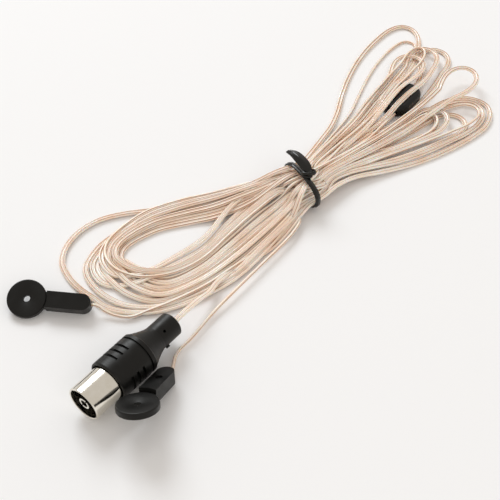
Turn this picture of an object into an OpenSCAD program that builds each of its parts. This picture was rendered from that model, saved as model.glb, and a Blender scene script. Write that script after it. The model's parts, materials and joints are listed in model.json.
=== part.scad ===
// Indoor T-shaped FM antenna: a clear figure-8 feeder with a moulded coax plug,
// a junction disc, two single-wire arms that end in nail-up discs, and a twist tie
// round the hank. It lies on the floor, z = 0. All lengths are in millimetres.

/* [Plug metal] */
// Bore of the outer contact sleeve
sleeve_bore_d = 9.6; // [9:0.1:11]
// Wall of the outer contact sleeve
sleeve_wall = 0.6; // [0.4:0.05:0.8]
// Length of sleeve that stands out of the boot
sleeve_reach = 9.4; // [7:0.2:12]
// Length of sleeve held inside the boot
sleeve_hold = 6; // [5:0.2:7]
// Bore of the centre contact
contact_bore_d = 2.4; // [2:0.1:2.8]
// Wall of the centre contact
contact_wall = 0.6; // [0.4:0.05:0.8]
// Distance from the sleeve's mouth back to the centre contact's mouth
contact_setback = 0.4; // [0.2:0.1:1.5]
// Depth of the open socket, from the mouth to the insulator's face
socket_depth = 8.2; // [7:0.2:9.4]
// Width of each slit in the centre contact
contact_slit_w = 0.35; // [0.2:0.05:0.5]
// Length of the slits in the centre contact
contact_slit_len = 4.5; // [3:0.5:6]

/* [Plug insulation] */
// Thickness of the insulator disc that carries the centre contact
insulator_len = 3.4; // [2.5:0.1:4]
// Diameter of the contact's stem where it passes the insulator
stem_d = 2.4; // [2:0.1:2.6]
// Length of the contact's solder cup behind the insulator
cup_len = 2.6; // [2:0.2:3.2]
// Length of the inner mould behind the insulator
core_len = 7; // [6:0.5:8]

/* [Boot] */
// Wall of the boot round the sleeve
boot_wall = 1.1; // [0.9:0.05:1.6]
// Length of the boot's round body, front rim to seam groove
body_len = 11.2; // [10:0.2:14]
// Width of the seam groove
seam_w = 0.7; // [0.4:0.1:1]
// Depth of the seam groove
seam_depth = 0.5; // [0.3:0.05:0.6]
// Length of the shoulder behind the seam groove
shoulder_len = 1.5; // [1:0.1:3]
// Length of the tapering neck
neck_len = 6; // [4:0.5:9]
// Diameter of the exit tube
exit_d = 7.8; // [6:0.1:9]
// Length of the exit tube
exit_len = 7.2; // [6:0.2:10]
// Depth of the open step inside the boot's front rim
rim_step_depth = 0.9; // [0.5:0.1:1.5]
// Width of the open step inside the boot's front rim
rim_step_w = 0.45; // [0.3:0.05:0.6]
// Width of each grip slot
grip_slot_w = 0.8; // [0.5:0.1:1]
// Depth of each grip slot
grip_slot_depth = 0.7; // [0.4:0.05:0.8]
// Distance from one grip slot to the next
grip_pitch = 2.2; // [1.6:0.1:2.4]
// Distance from the front rim to the first grip slot
grip_start = 3.6; // [2.5:0.1:4]
// Arc that each grip slot covers, in degrees
grip_arc = 122; // [60:2:140]
// Diameter of the core-pin holes in the exit tube
pin_hole_d = 0.9; // [0.6:0.1:1.2]
// Distance from the neck to the core-pin holes
pin_hole_from_neck = 1.8; // [1.2:0.1:3]
// Diameter of the moulding gate's stub beside the exit tube's root
gate_stub_d = 1.3; // [0.8:0.1:1.8]
// Height of the gate's stub
gate_stub_h = 0.5; // [0.3:0.1:0.8]

/* [Wire] */
// Diameter of one insulated conductor
wire_d = 1.05; // [0.9:0.05:1.3]
// Depth to which a wire enters a moulding
wire_entry = 3; // [2:0.5:4]

/* [End discs] */
// Diameter of an end disc
end_disc_d = 12; // [10:0.5:16]
// Thickness of an end disc at its rim
end_disc_t = 2; // [1.6:0.1:2.6]
// Diameter of the nail hole
nail_hole_d = 2.1; // [1.6:0.1:3]
// Depth of the hollow round the nail hole, on each face
dish_depth = 0.45; // [0.2:0.05:0.5]
// Width of the strain-relief bar
bar_w = 5.2; // [4:0.2:6]
// Thickness of the strain-relief bar
bar_t = 4; // [3.4:0.1:5]
// Distance from the nail hole to the bar's round end
bar_reach = 19.6; // [16:0.2:24]
// Width of the groove between disc and bar
neck_groove_w = 0.5; // [0.3:0.1:0.8]
// Diameter of the dimple in the bar
dimple_d = 2.2; // [1.6:0.1:2.6]

/* [Junction] */
// Length of the junction moulding
junction_len = 19; // [17:0.5:24]
// Width of the junction moulding
junction_w = 11; // [9:0.2:12]
// Thickness of the junction moulding
junction_t = 4.6; // [4:0.1:6]
// Outside diameter of a crimped splice
splice_d = 1.7; // [1.5:0.1:2]
// Length of a crimped splice
splice_len = 4; // [3:0.2:4.6]
// Gap left round the junction by the turns of the hank
junction_room = 0.4; // [0.3:0.1:1]

/* [Tie] */
// Width of the tie's ribbon
tie_w = 2.2; // [1.6:0.1:3]
// Thickness of the tie's ribbon
tie_t = 0.8; // [0.6:0.05:1.2]

/* [Hank] */
// Height of the hank's closed lobe
lobe_h = 4.4; // [3:0.2:6]
// Height of the hank's open bunches
fan_h = 4; // [3:0.2:6]
// Height of the wide loop beside the bunches
wide_loop_h = 3.2; // [2.4:0.2:5]
// Width of the bundle inside the tie
waist_w = 19; // [16:0.5:22]
// Height of the bundle inside the tie
waist_h = 8.4; // [7:0.2:10]
// Length of the straight bundle at the tie
waist_len = 7; // [6:0.5:10]
// Length over which the bundle slopes down from the tie
slope_len = 12; // [8:1:18]

/* [Hidden] */
$fn = 64;

// Clearance between mouldings and what seats in them
fit_gap = 0.05;
// Overrun of a cut past a face
over = 1;

// Plug, along its own axis from the sleeve's mouth
sleeve_d = sleeve_bore_d + 2 * sleeve_wall;
sleeve_len = sleeve_reach + sleeve_hold;
contact_d = contact_bore_d + 2 * contact_wall;
insulator_end = socket_depth + insulator_len;
core_end = insulator_end + core_len;
boot_d = sleeve_d + 2 * boot_wall;
seam_z = sleeve_reach + body_len;
shoulder_z = seam_z + seam_w;
neck_z = shoulder_z + shoulder_len;
exit_z = neck_z + neck_len;
plug_len = exit_z + exit_len;
edge_r = 0.5;
cup_bore_d = 1.2;
core_d = sleeve_bore_d - 2 * fit_gap;

// Where the plug lies
plug_mouth = [-38, -74.4];
plug_azimuth = 54;
plug_roll = 32;

// Mouldings on the arms
disc_left_at = [-61.6, -36.2, 3.25];
disc_left_turn = [22, 0, -3];
disc_right_at = [-22.8, -76.4, 10.3];
disc_right_turn = [-15, 24.5, 68.6];
junction_at = [60.4, 73];
junction_azimuth = 55;
dimple_depth = 0.6;
twin_w = 2 * wire_d;

// The tie's place, and its ribbon's way from the bundle to its free ends
tie_at = [21.5, 18.5];
tie_azimuth = 32;
tie_gap = 0.1;
waist_bottom = tie_t + tie_gap;
waist_power = 2.6;
ribbon_sides = 8;
tie_wrap_d = 1;
tie_wrap_r = 1.2;
tie_knot_z = waist_bottom + waist_h + tie_gap + tie_t;

// Routes of the free stretches, chosen by hand
feeder_route = [[-13, -40, 6.6], [-10, -35, 5.4], [-7, -30, 3.4], [-5, -25, 2.2]];
arm_left_route = [[-38, -38.2, 1.8], [-34, -39.4, 1.2], [-30, -39.4, 1], [-26.6, -37.6, 1]];
arm_right_route = [[-15, -52, 1], [-11, -46, 1.2], [-5, -36, 1.6], [2, -26, 2], [9, -16, 2],
                   [16, -6, 2], [19.4, -0.4, 2.2], [21, 3.8, 2.4]];
tie_tail_route = [[0, 0, 0], [-2, 0.6, 1], [-4.6, 1.4, 2], [-7.6, 2, 2.8], [-10.4, 2.2, 2.4]];
tie_curl_route = [[0, 0, 0.4], [2, -1, 1], [3.6, -1.8, 1.4], [4.4, -0.6, 1], [3.4, 0.2, 0.4]];

// Outlines of the hank seen from above, chosen by hand
left_lobe = [[15, 26], [2, 21.5], [-14, 16], [-26, 11], [-36, 4], [-43, -4], [-46.5, -14],
             [-46, -23], [-42, -30], [-35, -35.5], [-27, -38], [-19, -35.5], [-10, -29.5],
             [-1, -20], [8, -10.5], [17, -1], [24, 9], [20, 18]];
left_opening = [[-1, 2.8], [-9, 4.2], [-18, 3], [-26, -1.8], [-29, -6.6], [-26, -9.4],
                [-19, -9.2], [-11, -5.4], [-5, -1]];
fan = [[17, 27], [26, 42], [36, 60], [47, 76], [58, 92], [68, 103], [76, 107], [81.5, 104],
       [78, 93], [86.5, 88.5], [84, 82], [75, 72], [68, 62], [76, 55], [64, 42], [50, 31],
       [36, 20], [27, 11], [21, 18]];
loose_loop = [[-20, 11.5], [-32, 4.4], [-43, -3.4], [-50.5, -11.6], [-53.8, -22], [-50.6, -28.6],
              [-45, -32], [-38, -35], [-30, -36]];
top_loop = [[32, 52], [38.6, 66], [43, 84], [48, 101], [56, 118], [65, 126], [70.4, 121],
            [71, 110], [66, 98]];
inner_loop = [[44, 72], [50, 86], [57, 103], [63.6, 112.4], [70, 113], [72, 106]];
right_loop = [[56, 34], [70, 40], [83, 50], [89.6, 60], [88, 68.6], [80, 71], [70, 66.6], [58, 58]];
single_loop = [[66, 57], [74, 60.6], [81, 62], [87, 61]];
right_loop_w = 8;
smooth_steps = 5;

// Sums and vectors
function unit(v) = v / norm(v);
function side_of(t) = unit(cross(t, [0, 0, 1]));
function heading(azimuth) = [cos(azimuth), sin(azimuth), 0];

// A point on the smooth curve from b to c, with neighbours a and d
function smooth_point(a, b, c, d, t) =
    0.5 * ((2 * b) + (c - a) * t + (2 * a - 5 * b + 4 * c - d) * t * t
    + (3 * b - a - 3 * c + d) * t * t * t);

// A smooth closed outline through the points
function smooth_ring(p) = let (n = len(p))
    [for (i = [0 : n - 1], s = [0 : smooth_steps - 1])
        smooth_point(p[(i + n - 1) % n], p[i], p[(i + 1) % n], p[(i + 2) % n], s / smooth_steps)];

// A smooth open route through the points, with steps points to each stretch
function smooth_route(p, steps) = let (n = len(p))
    concat([for (i = [0 : n - 2], s = [0 : steps - 1])
        smooth_point(p[max(i - 1, 0)], p[i], p[i + 1], p[min(i + 2, n - 1)], s / steps)],
        [p[n - 1]]);

// The direction of a route at its point i
function tangent(p, i) = unit(p[min(i + 1, len(p) - 1)] - p[max(i - 1, 0)]);

// An oval ring of corners about a centre, turned by roll round the route
function oval(centre, t, w, h, roll) = let (s = side_of(t), u = cross(s, t))
    [for (k = [0 : ribbon_sides - 1]) let (a = 360 * (k + 0.5) / ribbon_sides,
        x = cos(a) * w / 2 / cos(180 / ribbon_sides), y = sin(a) * h / 2 / cos(180 / ribbon_sides))
        centre + s * (x * cos(roll) - y * sin(roll)) + u * (x * sin(roll) + y * cos(roll))];

// A wire or ribbon of oval section, swept along a smooth route
module sweep(route, w, h, steps = 2, twist = 0) {
    p = smooth_route(route, steps);
    n = len(p);
    m = ribbon_sides;
    corners = [for (i = [0 : n - 1]) each oval(p[i], tangent(p, i), w, h, twist * i / (n - 1))];
    walls = [for (i = [0 : n - 2], k = [0 : m - 1]) each
        [[i * m + k, i * m + (k + 1) % m, (i + 1) * m + (k + 1) % m],
         [i * m + k, (i + 1) * m + (k + 1) % m, (i + 1) * m + k]]];
    start = [[for (k = [m - 1 : -1 : 0]) k]];
    end = [[for (k = [0 : m - 1]) (n - 1) * m + k]];
    polyhedron(corners, concat(walls, start, end), convexity = 6);
}

// A round-cornered box of the bundle's cross-section, standing on its own base line
module bundle_section(w, h) {
    steps = 48;
    polygon([for (k = [0 : steps - 1]) let (a = 360 * k / steps, c = cos(a), s = sin(a))
        [w / 2 * sign(c) * pow(abs(c), 2 / waist_power),
         h / 2 * (1 + sign(s) * pow(abs(s), 2 / waist_power))]]);
}

// Puts a shape modelled along +Z, from the mouth, where the plug lies
module at_plug() {
    translate([plug_mouth.x, plug_mouth.y, boot_d / 2])
        rotate([0, 90, plug_azimuth]) rotate([0, 0, plug_roll]) children();
}

// Puts a shape modelled with the bundle along +Z and up along +Y at the tie
module at_tie() {
    translate([tie_at.x, tie_at.y, 0]) rotate([90, 0, tie_azimuth + 90]) children();
}

module at_disc_left() { translate(disc_left_at) rotate(disc_left_turn) children(); }

module at_disc_right() { translate(disc_right_at) rotate(disc_right_turn) rotate([180, 0, 0]) children(); }

module at_junction() {
    translate([junction_at.x, junction_at.y, junction_t / 2]) rotate([0, 0, junction_azimuth]) children();
}

// The slot that a twin or single wire runs into, along +X, with its closed end at the origin
module wire_slot(w, length) {
    rotate([90, 0, 90]) linear_extrude(length) {
        if (w > wire_d) square([w - wire_d, wire_d + 2 * fit_gap], center = true);
        for (x = [-1, 1]) translate([x * (w - wire_d) / 2, 0]) circle(d = wire_d + 2 * fit_gap, $fn = 24);
    }
}

// Nickel-plated outer contact: a tube with a rolled lip
module plug_sleeve() {
    color("silver") at_plug() rotate_extrude() polygon([
        [sleeve_bore_d / 2, 0.15], [sleeve_bore_d / 2 + 0.15, 0], [sleeve_d / 2 - 0.25, 0],
        [sleeve_d / 2, 0.25], [sleeve_d / 2, sleeve_len], [sleeve_bore_d / 2, sleeve_len]]);
}

// Black insulator that closes the socket and carries the centre contact
module plug_insulator() {
    color("#202020") at_plug() difference() {
        translate([0, 0, socket_depth]) cylinder(d = sleeve_bore_d - 2 * fit_gap, h = insulator_len);
        translate([0, 0, socket_depth - over])
            cylinder(d = stem_d + 2 * fit_gap, h = insulator_len + 2 * over);
    }
}

// Centre contact: a slit tube, a stem through the insulator and a solder cup
module plug_contact() {
    bore_end = socket_depth - 1;
    color("gainsboro") at_plug() difference() {
        union() {
            translate([0, 0, contact_setback])
                cylinder(d = contact_d, h = socket_depth - contact_setback);
            translate([0, 0, socket_depth]) cylinder(d = stem_d, h = insulator_len + cup_len);
        }
        translate([0, 0, contact_setback - over]) cylinder(d = contact_bore_d, h = bore_end - contact_setback + over);
        translate([0, 0, insulator_end + 0.4]) cylinder(d = cup_bore_d, h = cup_len + over, $fn = 24);
        translate([-contact_d, -contact_slit_w / 2, contact_setback - over])
            cube([2 * contact_d, contact_slit_w, contact_slit_len + over]);
    }
}

// Inner mould that fills the sleeve's tail and grips the ends of the feeder
module plug_core() {
    color("#303030") at_plug() difference() {
        union() {
            translate([0, 0, insulator_end]) cylinder(d = core_d, h = sleeve_len - insulator_end);
            translate([0, 0, sleeve_len]) cylinder(d = sleeve_d, h = core_end - sleeve_len);
        }
        translate([0, 0, insulator_end - over]) cylinder(d = stem_d + 2 * fit_gap, h = cup_len + over + fit_gap);
    }
}

// Outline of the boot's outside, from its axis round and back
function boot_outline() = let (r = boot_d / 2, e = exit_d / 2, steps = 6) concat(
    [[0, sleeve_reach]],
    [for (k = [0 : 3]) let (a = 90 * k / 3)
        [r - edge_r + edge_r * sin(a), sleeve_reach + edge_r - edge_r * cos(a)]],
    [[r, seam_z], [r - seam_depth, seam_z], [r - seam_depth, shoulder_z], [r, shoulder_z],
     [r, neck_z - 0.4]],
    [for (k = [0 : steps]) let (t = k / steps)
        [e + (r - 0.3 - e) * pow(1 - t, 1.35), neck_z + neck_len * t]],
    [[e, plug_len - 0.4], [e - 0.4, plug_len], [0, plug_len]]);

// One side's grip slots, as arcs cut into the boot
module grip_slots() {
    count = floor((body_len - grip_start - 1.4) / grip_pitch) + 1;
    for (i = [0 : count - 1])
        translate([0, 0, sleeve_reach + grip_start + i * grip_pitch])
            rotate([0, 0, 90 - grip_arc / 2]) rotate_extrude(angle = grip_arc)
                translate([boot_d / 2 - grip_slot_depth, 0])
                    square([grip_slot_depth + over, grip_slot_w]);
}

// Moulded boot: body with grips, seam groove, shoulder, neck and exit tube
module plug_boot() {
    color("#1c1c1e") at_plug() difference() {
        union() {
            rotate_extrude() polygon(boot_outline());
            translate([0, 0, exit_z + gate_stub_d]) rotate([90, 0, 0])
                cylinder(d = gate_stub_d, h = exit_d / 2 + gate_stub_h, $fn = 24);
        }
        translate([0, 0, sleeve_reach - over]) cylinder(d = sleeve_d + 2 * fit_gap, h = core_end + fit_gap - sleeve_reach + over);
        translate([0, 0, sleeve_reach - over]) cylinder(d = sleeve_d + 2 * rim_step_w, h = rim_step_depth + over);
        for (side = [0, 180]) rotate([0, 0, side]) grip_slots();
        for (side = [0, 180]) rotate([0, 0, side])
            translate([-exit_d / 2 - over, 0, exit_z + pin_hole_from_neck]) rotate([0, 90, 0])
                cylinder(d = pin_hole_d, h = over + 1.6, $fn = 24);
        translate([0, 0, plug_len - wire_entry]) rotate([0, -90, -plug_roll]) wire_slot(twin_w, wire_entry + over);
    }
}

// Outline of a dished disc, half in section
function dished_section(d, t, hole_d) = let (r = d / 2, h = t / 2, steps = 5) concat(
    [for (k = [0 : steps]) let (s = k / steps)
        [hole_d / 2 + (r - 1.2 - hole_d / 2) * s, h - dish_depth * pow(1 - s, 2)]],
    [for (k = [0 : 3]) let (a = 90 * k / 3) [r - 0.4 + 0.4 * sin(a), h - 0.4 + 0.4 * cos(a)]],
    [for (k = [3 : -1 : 0]) let (a = 90 * k / 3) [r - 0.4 + 0.4 * sin(a), -(h - 0.4 + 0.4 * cos(a))]],
    [for (k = [steps : -1 : 0]) let (s = k / steps)
        [hole_d / 2 + (r - 1.2 - hole_d / 2) * s, -(h - dish_depth * pow(1 - s, 2))]]);

// End disc: a nail-up disc with a round-ended bar that grips the wire's end
module end_disc() {
    neck_r = end_disc_d / 2 + neck_groove_w;
    difference() {
        union() {
            rotate_extrude() polygon(dished_section(end_disc_d, end_disc_t, nail_hole_d));
            translate([end_disc_d / 2 - 1, -bar_w / 2, -end_disc_t / 2 + 0.3])
                cube([neck_groove_w + 2, bar_w, end_disc_t - 0.6]);
            difference() {
                translate([0, 0, -bar_t / 2]) linear_extrude(bar_t) {
                    translate([0, -bar_w / 2]) square([bar_reach - bar_w / 2, bar_w]);
                    translate([bar_reach - bar_w / 2, 0]) circle(d = bar_w);
                }
                cylinder(r = neck_r, h = bar_t + over, center = true);
            }
        }
        translate([(neck_r + bar_reach) / 2, 0, -bar_t / 2 - over])
            cylinder(d = dimple_d, h = dimple_depth + over, $fn = 32);
        translate([bar_reach - wire_entry, 0, 0]) wire_slot(wire_d, wire_entry + over);
    }
}

module end_disc_left() { color("#1c1c1e") at_disc_left() end_disc(); }

module end_disc_right() { color("#1c1c1e") at_disc_right() end_disc(); }

// Half outline, in section, of the junction's rounded rim
function rim_section(r, t, edge) = let (h = t / 2, steps = 5) concat([[0, -h]],
    [for (k = [0 : steps]) let (a = 90 * k / steps) [r - edge + edge * sin(a), -h + edge - edge * cos(a)]],
    [for (k = [steps : -1 : 0]) let (a = 90 * k / steps) [r - edge + edge * sin(a), h - edge + edge * cos(a)]],
    [[0, h]]);

// Places of the arms' wires and splices in the junction
splice_y = junction_w / 4;
splice_x = -junction_len / 2 + wire_entry;
junction_edge = 1.6;

// Junction: a long rounded moulding that joins the feeder to the two arms
module junction_disc() {
    r = junction_w / 2;
    straight = junction_len - junction_w;
    color("#1c1c1e") at_junction() difference() {
        union() {
            for (side = [0, 180]) rotate([0, 0, side]) translate([straight / 2, 0, 0])
                rotate_extrude() polygon(rim_section(r, junction_t, junction_edge));
            translate([-straight / 2, 0, 0]) rotate([90, 0, 90]) linear_extrude(straight) {
                polygon(rim_section(r, junction_t, junction_edge));
                mirror([1, 0]) polygon(rim_section(r, junction_t, junction_edge));
            }
        }
        translate([junction_len / 2 - wire_entry, 0, 0]) wire_slot(twin_w, wire_entry + over);
        for (y = [-splice_y, splice_y]) {
            translate([splice_x, y, 0]) rotate([0, 90, 0])
                cylinder(d = splice_d + 2 * fit_gap, h = splice_len, $fn = 32);
            translate([splice_x + fit_gap, y, 0]) mirror([1, 0, 0]) wire_slot(wire_d, wire_entry + over);
        }
    }
}

// Crimped ferrule that joins a feeder core to an arm inside the junction
module splice(y) {
    color("peru") at_junction() translate([splice_x + fit_gap, y, 0]) rotate([0, 90, 0]) difference() {
        cylinder(d = splice_d, h = splice_len - 2 * fit_gap, $fn = 32);
        translate([0, 0, -over]) cylinder(d = splice_d - 0.8, h = splice_len + 2 * over, $fn = 24);
    }
}

module splice_left() { splice(splice_y); }

module splice_right() { splice(-splice_y); }

// Where a wire leaves the plug and the two bars, and the way it heads
plug_heading = heading(plug_azimuth);
plug_exit = [plug_mouth.x, plug_mouth.y, boot_d / 2] + plug_len * plug_heading;

// The twin feeder from inside the boot's exit to the hank
module feeder_lead() {
    start = plug_exit - (wire_entry - fit_gap) * plug_heading;
    color("#d8b79c") sweep(concat([start, plug_exit, plug_exit + 3 * plug_heading], feeder_route),
        twin_w, wire_d);
}

// The direction of local +X after a turn about X, then Y, then Z
function turned_x(turn) = [cos(turn.y) * cos(turn.z), cos(turn.y) * sin(turn.z), -sin(turn.y)];

// A single arm wire from inside a bar's end to the hank
module arm_lead(at, turn, route) {
    dir = turned_x(turn);
    mouth = at + bar_reach * dir;
    color("#d8b79c") sweep(concat([mouth - (wire_entry - fit_gap) * dir, mouth, mouth + 1.6 * dir], route),
        wire_d, wire_d);
}

module arm_left_lead() { arm_lead(disc_left_at, disc_left_turn, arm_left_route); }

module arm_right_lead() { arm_lead(disc_right_at, disc_right_turn, arm_right_route); }

// A loose loop of the hank: a band of one width along a smooth path
module loop_band(path, w) {
    p = smooth_route(path, 3);
    n = len(p);
    side = [for (i = [0 : n - 1]) let (t = tangent(p, i)) [-t.y, t.x] * w / 2];
    polygon(concat([for (i = [0 : n - 1]) p[i] + side[i]], [for (i = [n - 1 : -1 : 0]) p[i] - side[i]]));
    for (q = [p[0], p[n - 1]]) translate(q) circle(d = w, $fn = 24);
}

// The bundle at the tie, and the slopes that join it to the lobes
module waist() {
    top = waist_bottom + waist_h;
    end = waist_len / 2 + slope_len;
    at_tie() linear_extrude(waist_len, center = true)
        translate([0, waist_bottom]) bundle_section(waist_w, waist_h);
    for (side = [0, 180]) translate([tie_at.x, tie_at.y, 0])
        rotate([90, 0, tie_azimuth + side]) linear_extrude(waist_w * 0.66, center = true) polygon([
            [waist_len / 2 - 1.5, waist_bottom + 0.4], [waist_len / 2 - 1.5, top - 0.8],
            [waist_len / 2 + 1, top - 1], [end, fan_h - 0.6], [end - 4, waist_bottom + 0.4]]);
}

// The hank: all turns of the feeder and the arms, as one body with its open loops
module feeder_hank() {
    tie_room = [tie_w + 3, waist_w + 12, 2 * lobe_h + 2];
    room = junction_room;
    color("#d8b79c") difference() {
        union() {
            difference() {
                union() {
                    linear_extrude(lobe_h) difference() {
                        polygon(smooth_ring(left_lobe));
                        polygon(smooth_ring(left_opening));
                    }
                    linear_extrude(fan_h) polygon(smooth_ring(fan));
                    linear_extrude(wide_loop_h) loop_band(right_loop, right_loop_w);
                    linear_extrude(wire_d + 0.1) loop_band(loose_loop, twin_w);
                    linear_extrude(wire_d + 0.15) loop_band(top_loop, twin_w);
                    linear_extrude(wire_d) loop_band(inner_loop, wire_d);
                    linear_extrude(wire_d + 0.05) loop_band(single_loop, wire_d);
                }
                translate([tie_at.x, tie_at.y, 0]) rotate([0, 0, tie_azimuth]) cube(tie_room, center = true);
            }
            waist();
        }
        at_junction() {
            cube([junction_len - junction_w, junction_w + 2 * room, 4 * fan_h], center = true);
            for (side = [-1, 1]) translate([side * (junction_len - junction_w) / 2, 0, 0])
                cylinder(d = junction_w + 2 * room, h = 4 * fan_h, center = true);
        }
    }
}

// Twist tie: a ribbon round the bundle, two wraps on top and two free ends
module twist_tie() {
    inner_w = waist_w + 2 * tie_gap;
    inner_h = waist_h + 2 * tie_gap;
    color("#161617") {
        at_tie() linear_extrude(tie_w, center = true) difference() {
            translate([0, waist_bottom - tie_gap - tie_t])
                bundle_section(inner_w + 2 * tie_t, inner_h + 2 * tie_t);
            translate([0, waist_bottom - tie_gap]) bundle_section(inner_w, inner_h);
        }
        translate([tie_at.x, tie_at.y, tie_knot_z - 0.4]) rotate([0, 0, tie_azimuth]) {
            cylinder(d = 2, h = 2 * tie_wrap_d, $fn = 24);
            for (turn = [0, 1]) translate([0, 0.3 * turn, (turn + 0.5) * tie_wrap_d]) rotate([8 * turn, 0, 0])
                rotate_extrude($fn = 32) translate([tie_wrap_r, 0]) circle(d = tie_wrap_d, $fn = 16);
            translate([0, 0, 1]) rotate([0, 0, 90]) {
                sweep(tie_curl_route, 1.5, 0.9, 3, 120);
                sweep([for (q = tie_tail_route) [-q.x, q.y, q.z]], 2.2, 0.8, 3, 50);
            }
        }
    }
}

plug_sleeve();
plug_insulator();
plug_contact();
plug_core();
plug_boot();
feeder_lead();
feeder_hank();
junction_disc();
splice_left();
splice_right();
arm_left_lead();
arm_right_lead();
end_disc_left();
end_disc_right();
twist_tie();
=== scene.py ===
import json
import logging
import math
from dataclasses import dataclass, field
from enum import Enum

import bpy
import numpy as np
from mathutils import Matrix, Vector

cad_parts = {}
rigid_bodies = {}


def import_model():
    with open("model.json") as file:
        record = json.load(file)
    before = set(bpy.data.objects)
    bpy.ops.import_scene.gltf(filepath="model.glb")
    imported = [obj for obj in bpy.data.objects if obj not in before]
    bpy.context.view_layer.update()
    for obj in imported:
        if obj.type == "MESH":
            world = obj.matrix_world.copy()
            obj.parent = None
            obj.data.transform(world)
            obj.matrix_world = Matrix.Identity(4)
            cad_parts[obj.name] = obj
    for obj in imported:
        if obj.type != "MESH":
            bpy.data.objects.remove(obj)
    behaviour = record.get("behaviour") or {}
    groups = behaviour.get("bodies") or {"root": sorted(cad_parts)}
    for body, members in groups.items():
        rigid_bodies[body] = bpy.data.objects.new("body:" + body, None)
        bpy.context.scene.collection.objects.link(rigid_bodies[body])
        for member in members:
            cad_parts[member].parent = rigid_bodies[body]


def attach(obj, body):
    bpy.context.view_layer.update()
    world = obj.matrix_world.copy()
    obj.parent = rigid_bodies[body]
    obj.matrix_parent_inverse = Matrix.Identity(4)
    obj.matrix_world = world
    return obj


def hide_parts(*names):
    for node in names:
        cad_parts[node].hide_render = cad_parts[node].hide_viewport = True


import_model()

LOG = logging.getLogger("fm_antenna")
MM = 0.001
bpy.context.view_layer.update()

Point = tuple[float, float, float]
Flat = tuple[float, float]


class Wire(Enum):
    """The two kinds of wire in the antenna."""

    TWIN = "twin"
    SINGLE = "single"


class Side(Enum):
    """The antenna's two arms."""

    LEFT = "left"
    RIGHT = "right"


def srgb(code: str) -> tuple[float, float, float, float]:
    """Turns an sRGB hex colour into linear RGBA.

    Args:
        code: the colour, such as "#A0B0C0".

    Returns:
        The linear colour with full alpha.
    """
    parts = [int(code[k:k + 2], 16) / 255 for k in (1, 3, 5)]
    linear = [c / 12.92 if c <= 0.04045 else ((c + 0.055) / 1.055) ** 2.4 for c in parts]
    return (*linear, 1.0)


def add_node(tree: bpy.types.NodeTree, kind: str, settings: dict | None = None,
             links: dict | None = None) -> bpy.types.Node:
    """Adds a node, sets its properties and inputs, and links its inputs.

    Args:
        tree: the node tree that gets the node.
        kind: the node's type name.
        settings: property names, or input names or numbers, with their values.
        links: input names or numbers, each with the output socket that feeds it.

    Returns:
        The new node.
    """
    node = tree.nodes.new(kind)
    for key, value in (settings or {}).items():
        if isinstance(key, str) and hasattr(node, key):
            setattr(node, key, value)
        else:
            node.inputs[key].default_value = value
    for key, socket in (links or {}).items():
        tree.links.new(socket, node.inputs[key])
    return node


def new_material(name: str) -> tuple[bpy.types.Material, bpy.types.NodeTree, bpy.types.Node]:
    """Makes a material with one principled shader.

    Args:
        name: the material's name.

    Returns:
        The material, its node tree and its shader node.
    """
    material = bpy.data.materials.new(name)
    material.use_nodes = True
    tree = material.node_tree
    return material, tree, tree.nodes["Principled BSDF"]


def variation(tree: bpy.types.NodeTree, size_mm: float, detail: float = 3.0) -> bpy.types.NodeSocket:
    """Adds noise at a real size on the piece's own coordinates.

    Args:
        tree: the node tree that gets the nodes.
        size_mm: the size of one patch, in millimetres.
        detail: how many finer octaves the noise has.

    Returns:
        The noise's value socket.
    """
    place = add_node(tree, "ShaderNodeTexCoord")
    noise = add_node(tree, "ShaderNodeTexNoise", {"Scale": 1000.0 / size_mm, "Detail": detail},
                     {"Vector": place.outputs["Object"]})
    return noise.outputs[0]


def span(tree: bpy.types.NodeTree, source: bpy.types.NodeSocket, low: float,
         high: float) -> bpy.types.NodeSocket:
    """Maps a value from 0.3..0.7 to a span, with a map-range node, and gives its socket."""
    node = add_node(tree, "ShaderNodeMapRange", {1: 0.3, 2: 0.7, 3: low, 4: high}, {0: source})
    return node.outputs[0]


def mix(tree: bpy.types.NodeTree, factor: bpy.types.NodeSocket, first: str,
        second: str) -> bpy.types.NodeSocket:
    """Mixes two hex colours.

    Args:
        tree: the node tree that gets the node.
        factor: the socket that says how much of the second colour there is.
        first: the first colour.
        second: the second colour.

    Returns:
        The colour socket.
    """
    node = add_node(tree, "ShaderNodeMix", {"data_type": "RGBA"}, {0: factor})
    node.inputs[6].default_value = srgb(first)
    node.inputs[7].default_value = srgb(second)
    return node.outputs[2]


def connect(tree: bpy.types.NodeTree, shader: bpy.types.Node,
            sockets: dict[str, bpy.types.NodeSocket]) -> None:
    """Links output sockets to the shader's inputs of the given names."""
    for name, socket in sockets.items():
        tree.links.new(socket, shader.inputs[name])


def bump(tree: bpy.types.NodeTree, height: bpy.types.NodeSocket, depth_mm: float,
         before: bpy.types.NodeSocket | None = None) -> bpy.types.NodeSocket:
    """Adds a bump of a real depth.

    Args:
        tree: the node tree that gets the node.
        height: the socket with the pattern of the bump.
        depth_mm: how deep it is, in millimetres.
        before: the normal socket of a bump that this one lies on.

    Returns:
        The normal socket.
    """
    links = {"Height": height}
    if before is not None:
        links["Normal"] = before
    node = add_node(tree, "ShaderNodeBump", {"Strength": 1.0, "Distance": depth_mm * MM}, links)
    return node.outputs[0]


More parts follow.
